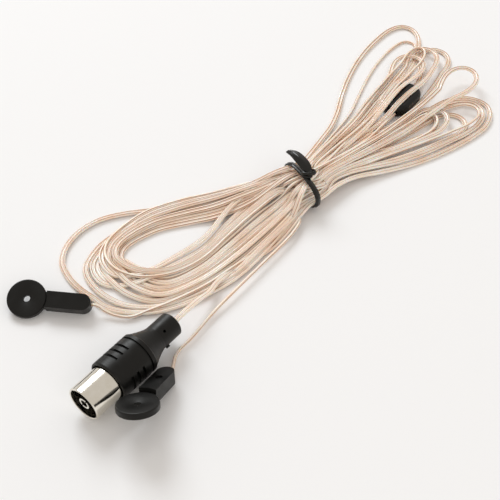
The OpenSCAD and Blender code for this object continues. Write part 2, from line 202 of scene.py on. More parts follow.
@dataclass(frozen=True)
class MouldedFinish:
    """Satin black PVC or polystyrene from a spark-eroded mould: near-black, a fine even grain
    that breaks the highlights, and slightly polished patches where it was handled."""

    colour: str = "#0D0D0C"
    worn: str = "#151514"
    smooth: float = 0.3
    rough: float = 0.46
    grain_mm: float = 0.16
    grain_depth_mm: float = 0.01
    sheen: float = 0.36
    patch_mm: float = 3.5
    ripple_mm: float = 1.6
    ripple_depth_mm: float = 0.012
    ior: float = 1.4
    shine: tuple[float, float, float, float] = (1.0, 0.96, 0.9, 1.0)

    def make(self, name: str) -> bpy.types.Material:
        """Builds the material."""
        material, tree, shader = new_material(name)
        patches = variation(tree, self.patch_mm)
        grain = variation(tree, self.grain_mm, 1.0)
        ripple = variation(tree, self.ripple_mm, 2.0)
        uneven = bump(tree, ripple, self.ripple_depth_mm)
        connect(tree, shader, {"Base Color": mix(tree, patches, self.colour, self.worn),
                               "Roughness": span(tree, patches, self.smooth, self.rough),
                               "Normal": bump(tree, grain, self.grain_depth_mm, uneven)})
        shader.inputs["IOR"].default_value = self.ior
        shader.inputs["Specular IOR Level"].default_value = self.sheen
        shader.inputs["Specular Tint"].default_value = self.shine
        return material


@dataclass(frozen=True)
class NickelFinish:
    """Bright nickel on turned brass: a warm silver mirror, softened by very fine turning lines
    round the tube and by faint yellowish staining."""

    colour: str = "#F1EDE4"
    stain: str = "#DDD6C6"
    smooth: float = 0.08
    rough: float = 0.2
    stain_mm: float = 2.4
    line_mm: float = 0.12
    line_depth_mm: float = 0.0012

    def make(self, name: str) -> bpy.types.Material:
        """Builds the material."""
        material, tree, shader = new_material(name)
        stain = variation(tree, self.stain_mm)
        fine = variation(tree, self.line_mm, 2.0)
        connect(tree, shader, {"Base Color": mix(tree, stain, self.colour, self.stain),
                               "Roughness": span(tree, stain, self.smooth, self.rough),
                               "Normal": bump(tree, fine, self.line_depth_mm)})
        shader.inputs["Metallic"].default_value = 1.0
        return material


@dataclass(frozen=True)
class FerruleFinish:
    """Tinned brass crimp: dull grey-yellow metal with the marks of the crimping jaws."""

    colour: str = "#B9A57C"
    stain: str = "#8F7F60"
    smooth: float = 0.3
    rough: float = 0.5
    stain_mm: float = 0.8
    mark_depth_mm: float = 0.02

    def make(self, name: str) -> bpy.types.Material:
        """Builds the material."""
        material, tree, shader = new_material(name)
        stain = variation(tree, self.stain_mm)
        connect(tree, shader, {"Base Color": mix(tree, stain, self.colour, self.stain),
                               "Roughness": span(tree, stain, self.smooth, self.rough),
                               "Normal": bump(tree, stain, self.mark_depth_mm)})
        shader.inputs["Metallic"].default_value = 1.0
        return material


@dataclass(frozen=True)
class ClearCordFinish:
    """Clear soft PVC over fine stranded copper: milky cream, glossy, with thin brown core lines. The lines
    are the copper core, repeated round the section, and the copies away from a conductor's middle are painted
    shade at the wire's edges.
    """

    jacket: str = "#FFF5EB"
    tint: str = "#F8E7D9"
    core: str = "#E8CDB6"
    # The brown line colour: the copper core seen through the jacket, and, where its copies fall away from a
    # conductor's middle, painted edge shade
    line: str = "#84614C"
    smooth: float = 0.14
    rough: float = 0.26
    patch_mm: float = 9.0
    ripple_mm: float = 0.5
    ripple_depth_mm: float = 0.006
    ior: float = 1.53
    milky: float = 0.5
    milky_mm: float = 0.6
    warmth: tuple[float, float, float] = (1.0, 0.74, 0.54)

    def make(self, name: str, lines: float) -> bpy.types.Material:
        """Builds the cord's material on the piece's UV map.

        Args:
            name: the material's name.
            lines: how many core lines the map's first direction shows round the whole section; besides the
                copper core, these copies also paint shade towards the wire's edges.

        Returns:
            The material.
        """
        material, tree, shader = new_material(name)
        uv = add_node(tree, "ShaderNodeUVMap", {"uv_map": "UVMap"})
        split = add_node(tree, "ShaderNodeSeparateXYZ", links={0: uv.outputs[0]})
        wave = add_node(tree, "ShaderNodeMath", {"operation": "MULTIPLY", 1: lines},
                        {0: split.outputs[0]})
        phase = add_node(tree, "ShaderNodeMath", {"operation": "FRACT"}, {0: wave.outputs[0]})
        ramp = add_node(tree, "ShaderNodeValToRGB", links={0: phase.outputs[0]})
        # The ramp paints a brown core line with a paler band round it, repeated round the section: the copper
        # core, and in its off-centre copies also painted shade near the wire's edges
        stops = [(0.0, self.jacket), (0.3, self.jacket), (0.43, self.core), (0.475, self.line),
                 (0.525, self.line), (0.57, self.core), (0.7, self.jacket), (1.0, self.jacket)]
        elements = ramp.color_ramp.elements
        while len(elements) < len(stops):
            elements.new(0.5)
        for element, (place, colour) in zip(elements, stops):
            element.position = place
            element.color = srgb(colour)
        patches = variation(tree, self.patch_mm)
        tint = add_node(tree, "ShaderNodeMix", {"data_type": "RGBA", "blend_type": "MULTIPLY"},
                        {0: span(tree, patches, 0.0, 1.0), 6: ramp.outputs[0]})
        tint.inputs[7].default_value = srgb(self.tint)
        ripple = variation(tree, self.ripple_mm, 1.0)
        connect(tree, shader, {"Base Color": tint.outputs[2],
                               "Roughness": span(tree, patches, self.smooth, self.rough),
                               "Normal": bump(tree, ripple, self.ripple_depth_mm)})
        shader.inputs["IOR"].default_value = self.ior
        shader.inputs["Subsurface Weight"].default_value = self.milky
        shader.inputs["Subsurface Radius"].default_value = self.warmth
        shader.inputs["Subsurface Scale"].default_value = self.milky_mm * MM
        return material


@dataclass(frozen=True)
class WireSize:
    """Half sizes of a wire's section, in millimetres, and the points round it."""

    half_w: float
    half_h: float
    ring: int

    @property
    def diameter_m(self) -> float:
        """The wire's width in metres."""
        return 2 * self.half_w * MM


SIZES = {Wire.TWIN: WireSize(1.05, 0.525, 20), Wire.SINGLE: WireSize(0.525, 0.525, 12)}


@dataclass(frozen=True)
class TipTurn:
    """One turn of wire through the open end of the hank, as its points from the tie's left side
    round the tip and back to its right side."""

    path: tuple[Flat, ...]
    layer: int = 0
    lift: float = 0.0
    hump: bool = False


@dataclass(frozen=True)
class LobeTurn:
    """One turn of wire round the closed lobe, by its lanes from the rim (0) to the core (1) on the
    lobe's low side, at its closed end and on its high side."""

    low: float
    mid: float
    high: float
    layer: int = 0
    path: tuple[Flat, ...] = ()


def smooth(points: np.ndarray, steps: int) -> np.ndarray:
    """A smooth curve through points.

    Args:
        points: the points, one row each.
        steps: how many pieces each stretch is cut into.

    Returns:
        The points of the curve.
    """
    padded = np.vstack([points[:1] * 2 - points[1:2], points, points[-1:] * 2 - points[-2:-1]])
    out = []
    for k in range(len(points) - 1):
        a, b, c, d = padded[k:k + 4]
        ab, bc, cd = (max(math.sqrt(np.linalg.norm(q - p)), 0.05) for p, q in ((a, b), (b, c), (c, d)))
        for s in range(steps):
            t = ab + bc * s / steps
            p1 = a * (ab - t) / ab + b * t / ab
            p2 = b * (ab + bc - t) / bc + c * (t - ab) / bc
            p3 = c * (ab + bc + cd - t) / cd + d * (t - ab - bc) / cd
            q1 = p1 * (ab + bc - t) / (ab + bc) + p2 * t / (ab + bc)
            q2 = p2 * (ab + bc + cd - t) / (bc + cd) + p3 * (t - ab) / (bc + cd)
            out.append(q1 * (ab + bc - t) / bc + q2 * (t - ab) / bc)
    out.append(points[-1])
    return np.array(out)


def respace(points: np.ndarray, step: float) -> np.ndarray:
    """Points at equal steps along a line.

    Args:
        points: the line's points.
        step: the wanted distance between points.

    Returns:
        The evenly spaced points, with both ends kept.
    """
    lengths = np.linalg.norm(np.diff(points, axis=0), axis=1)
    along = np.concatenate([[0], np.cumsum(lengths)])
    count = max(int(round(along[-1] / step)), 2)
    places = np.linspace(0, along[-1], count + 1)
    return np.column_stack([np.interp(places, along, points[:, k]) for k in range(3)])


def headings(azimuth: float) -> tuple[np.ndarray, np.ndarray]:
    """The directions along and across something that lies at an azimuth, in degrees."""
    a = math.radians(azimuth)
    return np.array([math.cos(a), math.sin(a)]), np.array([-math.sin(a), math.cos(a)])


@dataclass
class Tie:
    """Where the twist tie holds the bundle, and the bundle's room inside it."""

    centre: Flat = (21.5, 18.5)
    azimuth: float = 32
    half_w: float = 9.5
    half_h: float = 4.2
    base: float = 0.9
    power: float = 2.6
    # How far before and behind the tie the wires stay in its room, and how much of a wire counts
    hold_reach: float = 4
    wire_share: float = 0.8

    def __post_init__(self) -> None:
        """Works out the bundle's directions."""
        self.along, self.across = headings(self.azimuth)

    def slot(self, place: Flat, past: float = 0.0) -> list[float]:
        """The point at a distance across the bundle and a height, in the tie's plane or past it."""
        x, y = np.array(self.centre) + place[0] * self.across + past * self.along
        return [x, y, place[1]]

    def hold(self, points: np.ndarray, half_w: np.ndarray, half_h: np.ndarray) -> None:
        """Moves the points that pass the tie back into its room.

        Args:
            points: all points, changed in place.
            half_w: half width of the wire at each point.
            half_h: half height of the wire at each point.
        """
        flat = points[:, :2] - np.array(self.centre)
        near = np.abs(flat @ self.along) < self.hold_reach
        across = flat @ self.across
        rise = points[:, 2] - self.base - self.half_h
        room_w = self.half_w - half_w * self.wire_share
        room_h = self.half_h - half_h * self.wire_share
        load = (np.abs(across / room_w) ** self.power + np.abs(rise / room_h) ** self.power)
        out = near & (np.abs(across) < 2 * self.half_w) & (load > 1)
        shrink = load[out] ** (-1 / self.power)
        shift = across[out] * (shrink - 1)
        points[out, :2] += shift[:, None] * self.across
        points[out, 2] = self.base + self.half_h + rise[out] * shrink


@dataclass
class Junction:
    """The junction moulding's place and outline, which the turns lie over and beside."""

    centre: Flat = (60.4, 73.0)
    azimuth: float = 55
    length: float = 19
    width: float = 11
    height: float = 4.6
    # The rounded edge of its top: its width and how far it drops
    edge_w: float = 1.6
    edge_drop: float = 1.2
    # The share of its depth in the moulding that a point moves up or aside in one round
    up_share: float = 0.3
    aside_share: float = 0.25

    def __post_init__(self) -> None:
        """Works out the moulding's directions."""
        self.along, self.across = headings(self.azimuth)

    def port(self, side: int, offset: float, out: float) -> list[float]:
        """A point in front of an end of the moulding.

        Args:
            side: 1 for the end that faces away from the tie, -1 for the other.
            offset: the distance to the side of the middle.
            out: the distance out of the end's face.

        Returns:
            The point, in millimetres.
        """
        x, y = (np.array(self.centre) + side * (self.length / 2 + out) * self.along
                + offset * self.across)
        return [x, y, self.height / 2]

    def clear(self, points: np.ndarray, half_w: np.ndarray, half_h: np.ndarray,
              free: np.ndarray) -> None:
        """Moves points out of the moulding, upwards or to the side.

        Args:
            points: all points, changed in place.
            half_w: half width of the wire at each point.
            half_h: half height of the wire at each point.
            free: which points may move.
        """
        flat = points[:, :2] - np.array(self.centre)
        u, v = flat @ self.along, flat @ self.across
        core = (self.length - self.width) / 2
        du = u - np.clip(u, -core, core)
        radius = np.hypot(du, v)
        depth = self.width / 2 - radius
        dome = self.height - self.edge_drop * np.clip(1 - depth / self.edge_w, 0, 1) ** 2
        inside = free & (depth > -half_w * 0.5) & (points[:, 2] < dome + half_h)
        side = inside & (depth < self.edge_w) & (points[:, 2] < self.height * 0.5)
        up = inside & ~side
        points[up, 2] += (dome + half_h - points[:, 2])[up] * self.up_share
        step = (depth + half_w)[side] * self.aside_share / np.maximum(radius[side], 1e-6)
        points[side, :2] += ((step * du[side])[:, None] * self.along
                             + (step * v[side])[:, None] * self.across)


Turn = tuple[TipTurn, LobeTurn]

# Lines of the hank from above: points picked in the photograph, turned into millimetres on the
# floor by the fitted camera and, at the tips that bent too tightly, widened
# The lobe's outermost and innermost lanes, at matching stations from the tie and back
RIM_LINE: tuple[Flat, ...] = ((18.4, 4.1), (8.7, -9.4), (-1.7, -21.3), (-12.4, -29.8), (-23.2, -35.2),
    (-33.3, -34.7), (-41.4, -29.6), (-46.1, -21.7), (-44.3, -12.9), (-38.7, -4.9), (-30.6, 4.5),
    (-19.8, 11), (-7.8, 15.4), (5.5, 20.3))
CORE_LINE: tuple[Flat, ...] = ((12.4, 22.4), (3.9, 16.2), (-3.2, 6.9), (-9.8, -5.3), (-18.2, -13.4),
    (-27.4, -17.5), (-33.1, -17.4), (-36.7, -14.6), (-36.3, -10.2), (-33.2, -6.4), (-25.9, -1.3),
    (-16.3, 2.2), (-7.1, 5.2), (4, 11.7))
# The one turn that lies apart from the others at the closed end
STRAY_LINE: tuple[Flat, ...] = ((18.4, 4.1), (8.7, -9.4), (-1.7, -21.7), (-12.3, -30.6), (-23.1, -36),
    (-32.4, -37), (-38.7, -35.4), (-42.5, -32.5), (-46.7, -29.6), (-51.2, -24.9), (-54.5, -18.8),
    (-54.5, -11.9), (-51.2, -4.4), (-45.5, 1.1), (-37.6, 4.5), (-29.5, 6.5), (-19.1, 11.1), (-7.8, 15.9),
    (5.5, 20.3))
# The turns of each wire, in its order: through the open end, and then round the lobe
FEEDER_TURNS: tuple[Turn, ...] = (
    (TipTurn(((47.7, 47.2), (58.9, 57.9), (70.7, 69.1), (78.4, 75.4), (84.9, 77.9), (90.3, 77),
              (94.1, 73.5), (94.3, 67.3), (91.8, 61), (86.9, 55.3), (78.9, 48.4), (69.3, 41.5),
              (59.3, 35.8), (49.7, 31.3), (40.2, 27))),
     LobeTurn(0, 0, 0, path=STRAY_LINE)),
    (TipTurn(((29.3, 47.7), (32.8, 55.5), (35.4, 64.1), (37.7, 75.6), (40.9, 87.7), (46, 101.2),
              (52.5, 113.3), (59.9, 123), (66.2, 126.7), (70.2, 123.2), (71.1, 114.2), (68.7, 102.4),
              (64, 90.9), (57.8, 78.5), (50.3, 64.7), (42.8, 52.8)), hump=True),
     LobeTurn(1.0, 0.5, 0.15, layer=1)),
    (TipTurn(((42.9, 41.9), (51.5, 50.5), (59.6, 59.3), (68.1, 68.5), (75.2, 77.3), (80.4, 84.9),
              (84.9, 89.2), (88.7, 87.5), (88.3, 81.6), (83.5, 75.4), (77.4, 69.9), (69.7, 62.5),
              (61.4, 54.1), (52.6, 46)), layer=2, lift=4),
     LobeTurn(0.84, 0.22, 0.42)),
    (TipTurn(((42.6, 58), (50.3, 72.1), (58.1, 85), (63.7, 94.9), (67.8, 103.7), (71.6, 109.8),
              (75.7, 110.1), (77.4, 103.8), (75.5, 95.1), (72.2, 87.3), (67.8, 79.7), (62.9, 72.9),
              (58.1, 66.3), (53.6, 60.4), (47.1, 53.6)), lift=3, hump=True),
     LobeTurn(0.0, 0.0, 0.3)),
    (TipTurn(((48.4, 45.5), (59.5, 55.6), (71.1, 66.1), (78.8, 72.3), (84.5, 74.6), (89.5, 73.8),
              (91.5, 68.9), (89.8, 62.7), (84.4, 56.3), (76.1, 49.9), (66.5, 42.9), (55.8, 36.6),
              (46.1, 32.2), (37.4, 27.8)), layer=1),
     LobeTurn(0.1, 0.36, 0.54)),
    (TipTurn(((47.6, 47.1), (57.1, 55.3), (66.1, 63.2), (72.8, 69.3), (77.2, 70.2), (78.6, 66),
              (77.5, 60.5), (73.9, 54.9), (67, 49.7), (58.4, 43.9), (48.5, 38.2)), layer=1, lift=2),
     LobeTurn(0.34, 0.74, 0.8)),
    (TipTurn(((41, 57.8), (46.9, 69.3), (53.5, 82), (58.6, 91.8), (62.5, 99.7), (66.9, 103.6),
              (70.4, 101.1), (70, 93.4), (66, 85), (59.7, 76), (52.3, 64.2),
              (44.9, 53.4)), layer=1, lift=1, hump=True),
     LobeTurn(0.46, 0.94, 1.0)),
    (TipTurn(((48.8, 42.9), (59.9, 52.3), (70.5, 62), (78.1, 68.1), (83.3, 69.7), (86.9, 67.5),
              (86.9, 62.1), (82, 56.3), (73.8, 50.5), (64.3, 44.1), (54.3, 38.3), (44.7, 33.3),
              (36.6, 29))),
     LobeTurn(0.2, 0.6, 0.22, layer=1)),
    (TipTurn(((45.6, 49.4), (54.2, 55.9), (62.4, 63.1), (68.2, 68.4), (72.9, 69.4), (74.8, 65.3),
              (73.3, 59.1), (69, 54.1), (62.7, 50.1), (55.7, 45.6), (47.3, 41)), lift=1),
     LobeTurn(0.66, 0.86, 0.66, layer=1)),
)
LEFT_ARM_TURNS: tuple[Turn, ...] = (
    (TipTurn(((40.3, 64.5), (43.9, 74.8), (47.6, 85.6), (53.3, 99), (59.8, 109.6), (65.7, 115.2),
              (69.4, 114), (69.9, 106.8), (65.2, 95.8), (58.6, 83.1), (51.8, 70.4), (45.4, 59.5))),
     LobeTurn(0.62, 0.6, 0.06, layer=1)),
    (TipTurn(((41.5, 59.7), (48.3, 72.6), (56.3, 86.9), (63.3, 98.4), (68.1, 106.6), (71.9, 111.3),
              (74.2, 109.3), (72.6, 102), (66.7, 91.8), (59.7, 79.9), (52.6, 67.3),
              (45.9, 57.7)), layer=1, lift=2),
     LobeTurn(0.72, 1.0, 0.9)),
)
RIGHT_ARM_TURNS: tuple[Turn, ...] = (
    (TipTurn(((48.9, 43.8), (59.9, 53.8), (70.7, 64.2), (78.6, 69.1), (84.6, 70.8), (88.2, 69.2),
              (89.2, 65), (85.4, 59.9), (77.2, 54.5), (66.9, 48.6), (56.8, 42.7),
              (46.9, 35.4)), layer=1, lift=2),
     LobeTurn(0.22, 0.3, 0.68)),
    (TipTurn(((49, 45.7), (57, 53.8), (63.6, 60.2), (68.9, 64.3), (72.3, 63.9), (73, 60.4), (70.6, 55.4),
              (64.9, 50.4), (57, 44.6), (49.4, 39.6)), layer=1, lift=1),
     LobeTurn(0.56, 0.84, 0.46)),
)
# The feeder's last leg, which bends back to the junction
LAST_LEG = TipTurn(((70, 91.4), (70.8, 99), (73.6, 107.1), (78.2, 111.1), (81.6, 107.8), (81.1, 99.9),
                    (77.6, 90.7), (72.1, 80.3), (64.8, 69.5), (56.2, 58.5), (48.5, 49.1)))


@dataclass(frozen=True)
class Settling:
    """How the turns part, sink and keep their shape in each round, and how far they may move."""

    part: float = 0.25
    furthest: float = 0.35
    back_flat: float = 0.02
    back_up: float = 0.03
    back_in_tie: float = 0.1
    sink: float = 0.02
    # Strands that run beside each other part sideways, and those that cross part upwards
    beside_power: int = 8
    up_more: float = 2.6
    spread_rounds: int = 4
    spread: float = 0.45
    pairs_every: int = 10
    # Nearer than this share of their two sections, strands are pushed as at this share
    closest: float = 0.15
    # How far along the bundle the tie is felt, and how far round its middle
    tie_reach: float = 9
    tie_radius: float = 16
    # The gap under a wire, and the share of a flat wire's width that its roll lifts it by
    floor_gap: float = 0.02
    roll_share: float = 0.35


@dataclass
class Hank:
    """The feeder and the two arm wires: their routes, turns and section."""

    tie: Tie = field(default_factory=Tie)
    junction: Junction = field(default_factory=Junction)
    settling: Settling = Settling()
    # Free stretches, as in the part's source, from the mouldings to the hank
    feeder_exit: tuple[Point, ...] = ((-16.84, -45.28, 6.5), (-15.07, -42.85, 6.5))
    feeder_route: tuple[Point, ...] = ((-13, -40, 6.6), (-10, -35, 5.4), (-7, -30, 3.4), (-5, -25, 2.2))
    left_exit: tuple[Point, ...] = ((-42.03, -37.23, 3.25), (-40.43, -37.31, 3.25))
    left_route: tuple[Point, ...] = ((-38, -38.2, 1.8), (-34, -39.4, 1.2), (-30, -39.4, 1),
                                     (-26.6, -37.6, 1))
    right_exit: tuple[Point, ...] = ((-16.29, -59.79, 2.17), (-15.76, -58.44, 1.51))
    right_route: tuple[Point, ...] = ((-15, -52, 1), (-11, -46, 1.2), (-5, -36, 1.6), (2, -26, 2),
                                      (9, -16, 2), (16, -6, 2), (19.4, -0.4, 2.2), (21, 3.8, 2.4))
    # From the free stretches to the tie, under the lobe
    feeder_lead: tuple[Point, ...] = ((2.6, -16.6, 1.2), (11.4, -7.2, 1.6))
    left_lead: tuple[Point, ...] = ((-18, -33, 1.6), (-8, -25.6, 1.6), (2, -15.4, 1.6), (11.4, -6.4, 1.8))
    # How far in front of the junction the wires' last points lie, and the arms' direction to it
    feeder_port_steps: tuple[float, ...] = (3, 0)
    arm_port_steps: tuple[float, ...] = (22, 8, 0)
    arm_way: float = 54.0
    layer_h: float = 1.1
    bend_limit: float = 2.3
    step: float = 2.0
    mesh_step: float = 1.3
    rounds: int = 160
    quick_rounds: int = 40
    # Heights of the lowest turns in the lobe and in the open end
    lobe_z: float = 0.6
    tip_z: float = 0.75
    # Where a lobe turn changes lanes, as shares of its way round, and how long each change is
    lane_changes: tuple[float, float] = (0.28, 0.53)
    lane_change_len: float = 0.2
    # How high the tie lifts the bundle beside it, and how far out that is felt
    held_rise: float = 3.2
    held_reach: float = 32
    # A leg that starts this far out gets one more point at the second distance, to run straight
    approach_from: float = 17
    approach_out: float = 11
    approach_share: float = 0.75
    # Across the tie: the leg that leads straight on, the shift for each degree, and its most
    straight_way: float = 47
    slot_per_degree: float = 0.3
    slot_most: float = 8.0
    # The place across the tie of lane 0, and from there to lane 1, on the lobe's high and low side
    high_lanes: Flat = (8, -4)
    low_lanes: Flat = (-8, 13)
    # The points before and behind the tie: shares of leg and lane, and the room there
    knot_out: float = 5
    near_shares: Flat = (0.1, 0.9)
    near_room: Flat = (-8.6, 8.0)
    far_shares: Flat = (0.8, 0.2)
    far_room: Flat = (-5.4, 7.5)
    knot_z: float = 3.2
    knot_layer_h: float = 1.9
    knot_stagger: float = 0.3
    # The hump over the junction: the gap above it, its margin to the side and its length
    hump_gap: float = 0.9
    hump_side: float = 1.5
    hump_reach: float = 17
    # Opening a tight bend: the points each way, the points its middle lies between, and the push
    open_span: int = 9
    open_middle: int = 4
    open_push: float = 0.012
    open_spread: float = 0.25
    open_rounds: int = 150
    open_smooth: int = 7

    def lobe_points(self, turn: LobeTurn) -> list[list[float]]:
        """The stations of a turn round the lobe, from the tie's low side to its high side.

        Args:
            turn: the turn's lanes and layer, or its own path.

        Returns:
            The points, in millimetres.
        """
        count = len(RIM_LINE)
        z = self.lobe_z + turn.layer * self.layer_h
        if turn.path:
            return [[x, y, z + self.held(x, y)] for x, y in turn.path]
        points = []
        for k, (rim, core) in enumerate(zip(RIM_LINE, CORE_LINE)):
            steps = [min(max((k / (count - 1) - start) / self.lane_change_len, 0), 1)
                     for start in self.lane_changes]
            first, second = (t * t * (3 - 2 * t) for t in steps)
            lane = turn.low + (turn.mid - turn.low) * first + (turn.high - turn.mid) * second
            x, y = rim[0] + (core[0] - rim[0]) * lane, rim[1] + (core[1] - rim[1]) * lane
            points.append([x, y, z + self.held(x, y)])
        return points

    def tip_points(self, turn: TipTurn) -> list[list[float]]:
        """The points of a turn through the open end, from the tie's left side to its right side.

        Args:
            turn: the turn's path, layer, lift and whether it lies over the junction.

        Returns:
            The points, in millimetres.
        """
        z = self.tip_z + turn.layer * self.layer_h
        last = len(turn.path) - 1
        body = [[x, y, z + self.held(x, y) + turn.lift * math.sin(math.pi * k / last) ** 2]
                for k, (x, y) in enumerate(turn.path)]
        if turn.hump:
            body = [self.over(point) for point in body]
        return self.approach(turn.path[0], z) + body + self.approach(turn.path[-1], z)[::-1]

    def way(self, place: Flat) -> float:
        """The direction, in degrees, from the tie to a point of the open end."""
        return math.degrees(math.atan2(place[1] - self.tie.centre[1], place[0] - self.tie.centre[0]))

    def held(self, x: float, y: float) -> float:
        """How high the tie holds the bundle at a point beside it."""
        reach = math.hypot(x - self.tie.centre[0], y - self.tie.centre[1])
        return self.held_rise * math.exp(-(reach / self.held_reach) ** 2)

    def approach(self, place: Flat, z: float) -> list[list[float]]:
        """The point between the tie and a leg that starts far out.

        Args:
            place: the leg's nearest point to the tie.
            z: the height of the turn.

        Returns:
            A list of the one point, or of none.
        """
        slot = self.fan_slot(self.way(place))
        start = np.array(self.tie.centre) + self.tie.across * slot * self.approach_share
        ahead = np.array(place) - start
        reach = np.linalg.norm(ahead)
        if reach < self.approach_from:
            return []
        x, y = start + ahead * self.approach_out / reach
        return [[x, y, z + self.held(x, y)]]

    def over(self, point: list[float]) -> list[float]:
        """Raises a point of a leg that passes over the junction, in a long low hump.

        Args:
            point: the point, in millimetres.

        Returns:
            The raised point.
        """
        flat = np.array(point[:2]) - np.array(self.junction.centre)
        u, v = flat @ self.junction.along, flat @ self.junction.across
        beside = min(max((self.junction.width / 2 + self.hump_side - abs(v)) / 2, 0), 1)
        rise = max(self.junction.height + self.hump_gap - point[2], 0)
        return [point[0], point[1], point[2] + rise * beside * math.exp(-(u / self.hump_reach) ** 2)]

    def fan_slot(self, way: float) -> float:
        """How far to the left of the tie's middle a leg with this way starts."""
        return max(min((way - self.straight_way) * self.slot_per_degree, self.slot_most), -self.slot_most)

    def knot(self, way: float, lane: float, side: int, index: int) -> list[list[float]]:
        """The points at which a turn enters and leaves the tie, from the lobe to the open end.

        Args:
            way: the leg's direction in the open end.
            lane: its lane in the lobe.
            side: 1 on the lobe's high side, -1 on its low side.
            index: the leg's number, which picks its layer.

        Returns:
            The two points, in millimetres.
        """
        lanes = self.high_lanes if side > 0 else self.low_lanes
        lobe = lanes[0] + lanes[1] * lane
        fan = self.fan_slot(way)
        height = self.knot_z + self.knot_layer_h * (index * 2 % 5 % 3) + self.knot_stagger * (index % 2)
        sides = ((self.near_shares, self.near_room), (self.far_shares, self.far_room))
        near, far = (max(min(shares[0] * fan + shares[1] * lobe, room[1]), room[0])
                     for shares, room in sides)
        return [self.tie.slot((near, height), -self.knot_out), self.tie.slot((far, height), self.knot_out)]

    def chain(self, pieces: list[list[list[float]]]) -> np.ndarray:
        """Joins stretches of a route into one smooth line.

        Args:
            pieces: the stretches, in order.

        Returns:
            The line's points at equal steps.
        """
        points = np.array([p for piece in pieces for p in piece], dtype=float)
        return respace(smooth(points, 6), self.step)

    def wind(self, turns: tuple[Turn, ...], layers: tuple[int, int, int],
             after: float) -> list[list[list[float]]]:
        """The stretches of a wire's turns, through the tie, the open end and the lobe.

        Args:
            turns: the wire's turns, in order.
            layers: the numbers that pick the layers in the tie: of the first way in, and of the first
                turn's ways to the lobe and back.
            after: the direction, in degrees, in which the wire goes on.

        Returns:
            The stretches, in order.
        """
        first, to_lobe, from_lobe = layers
        pieces = [self.knot(self.way(turns[0][0].path[-1]), 0.0, -1, first)]
        ways = [self.way(tip.path[-1]) for tip, _ in turns[1:]] + [after]
        for index, ((tip, lobe), way) in enumerate(zip(turns, ways)):
            pieces += [self.tip_points(tip)[::-1],
                       self.knot(self.way(tip.path[0]), lobe.high, 1, index + to_lobe)[::-1],
                       self.lobe_points(lobe)[::-1],
                       self.knot(way, lobe.low, -1, index + from_lobe)]
        return pieces

    def feeder_line(self) -> tuple[np.ndarray, int]:
        """The feeder's line from the plug to the junction.

        Returns:
            The line, and its count of free points.
        """
        free = [list(p) for p in self.feeder_exit + self.feeder_route]
        pieces = [free, [list(p) for p in self.feeder_lead]]
        pieces += self.wind(FEEDER_TURNS, (0, 0, 1), self.way(LAST_LEG.path[-1]))
        pieces += [self.tip_points(LAST_LEG)[::-1][:-1],
                   [self.junction.port(1, 0, out) for out in self.feeder_port_steps]]
        line = self.chain(pieces)
        return line, self.count_free(line, free[-1])

    def arm_line(self, side: Side) -> tuple[np.ndarray, int]:
        """An arm wire's line from its end disc to the junction.

        Args:
            side: which arm it is.

        Returns:
            The line, and its count of free points.
        """
        gap = self.junction.width / 4
        if side is Side.LEFT:
            gap = -gap
            free = [list(p) for p in self.left_exit + self.left_route]
            pieces = [free, [list(p) for p in self.left_lead]]
            pieces += self.wind(LEFT_ARM_TURNS, (4, 3, 5), self.arm_way)
        else:
            free = [list(p) for p in self.right_exit + self.right_route]
            pieces = [free, *self.wind(RIGHT_ARM_TURNS, (0, 3, 5), self.arm_way)]
        pieces += [[self.junction.port(-1, gap, out) for out in self.arm_port_steps]]
        line = self.chain(pieces)
        return line, self.count_free(line, free[-1])

    @staticmethod
    def count_free(line: np.ndarray, end: list[float]) -> int:
        """Counts the line's points up to the end of its free stretch."""
        return int(np.argmin(np.linalg.norm(line[:60] - np.array(end), axis=1))) + 1

    def settle(self, lines: list[np.ndarray], sizes: list[WireSize], free: list[int],
               rounds: int) -> list[np.ndarray]:
        """Lets the turns push each other apart, sink and stay inside the tie. Where they are crowded,
        they still lie partly in each other.

        Args:
            lines: each wire's points, in millimetres.
            sizes: each wire's section.
            free: how many points at each wire's start keep their place.
            rounds: how often the turns are moved.

        Returns:
            The settled lines.
        """
        base = np.vstack(lines)
        wire = np.concatenate([np.full(len(p), k) for k, p in enumerate(lines)])
        order = np.concatenate([np.arange(len(p)) for p in lines])
        half_w = np.concatenate([np.full(len(p), s.half_w) for p, s in zip(lines, sizes)])
        half_h = np.concatenate([np.full(len(p), s.half_h) for p, s in zip(lines, sizes)])
        loose = np.concatenate([(np.arange(len(p)) >= f) & (np.arange(len(p)) < len(p) - 3)
                                for p, f in zip(lines, free)])
        mids = np.flatnonzero(np.concatenate([(np.arange(len(p)) > 0) & (np.arange(len(p)) < len(p) - 1)
                                              for p in lines]))
        rule = self.settling
        past_tie = (base[:, :2] - np.array(self.tie.centre)) @ self.tie.along
        near_tie = np.exp(-(past_tie / rule.tie_reach) ** 2)
        near_tie *= np.linalg.norm(base[:, :2] - np.array(self.tie.centre), axis=1) < rule.tie_radius
        lowest = half_h + rule.floor_gap + rule.roll_share * (half_w - half_h)
        now = base.copy()
        pairs = None
        for count in range(rounds):
            if count % rule.pairs_every == 0:
                pairs = self.close_pairs(now, wire, order)
            i, j = pairs
            gap = now[i] - now[j]
            wide = half_w[i] + half_w[j]
            tall = half_h[i] + half_h[j]
            reach = np.sqrt((gap[:, 0] ** 2 + gap[:, 1] ** 2) / wide ** 2 + gap[:, 2] ** 2 / tall ** 2)
            hit = reach < 1
            i, j, gap, reach = i[hit], j[hit], gap[hit], np.maximum(reach[hit], rule.closest)
            push = gap * (rule.part * (1 / reach - 1))[:, None]
            ahead = np.gradient(now, axis=0)
            ahead /= np.maximum(np.linalg.norm(ahead, axis=1)[:, None], 1e-6)
            beside = np.abs((ahead[i] * ahead[j]).sum(axis=1)) ** rule.beside_power
            push[:, :2] *= beside[:, None]
            push[:, 2] *= rule.up_more - beside
            move = np.zeros_like(now)
            np.add.at(move, i, push)
            np.add.at(move, j, -push)
